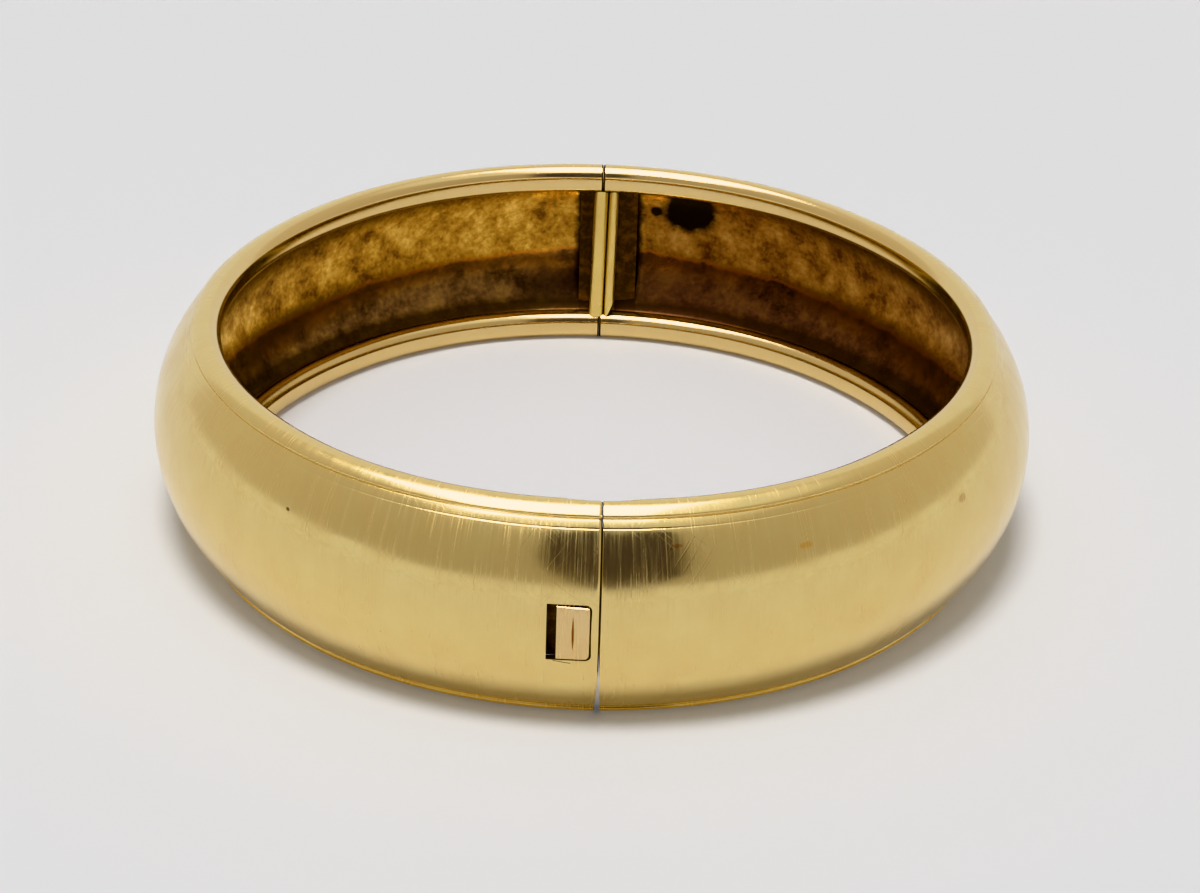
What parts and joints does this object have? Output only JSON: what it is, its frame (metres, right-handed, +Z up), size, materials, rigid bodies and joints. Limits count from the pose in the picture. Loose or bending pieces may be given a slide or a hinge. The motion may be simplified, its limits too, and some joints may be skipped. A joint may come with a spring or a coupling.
{
  "type": "hinged bangle",
  "caption": "Hollow domed gold bangle in two hinged halves with rounded rims, closed by a tongue catch with a sprung thumb piece.",
  "frame": {"origin": "middle of the wrist opening, on the plane that the lower rim rests on", "axes": "+Z up through the wrist opening, +Y towards the hinge, so the catch is at -Y, and +X towards the half that swings open"},
  "size_m": [0.0638, 0.0698, 0.0151],
  "materials": {
    "yellow_gold": "polished yellow gold",
    "pin_gold": "drawn yellow gold wire",
    "rose_gold": "satin, slightly rosy gold"
  },
  "bodies": {
    "left": {"left_half": "yellow_gold", "hinge_pin": "pin_gold"},
    "right": {"right_half": "yellow_gold"},
    "thumb": {"thumb_piece": "rose_gold"}
  },
  "joints": [
    {"name": "hinge", "type": "hinge", "parent": "left", "child": "right", "pos_m": [0.0006, 0.03385, 0.00755], "axis": [0, 0, 1], "range_deg": [0, 60]},
    {"name": "thumb_press", "type": "hinge", "parent": "right", "child": "thumb", "pos_m": [-0.00685, -0.0327, 0.00755], "axis": [0, 0, 1], "range_deg": [0, 6.5], "stiffness_Nm_per_rad": 0.02}
  ]
}
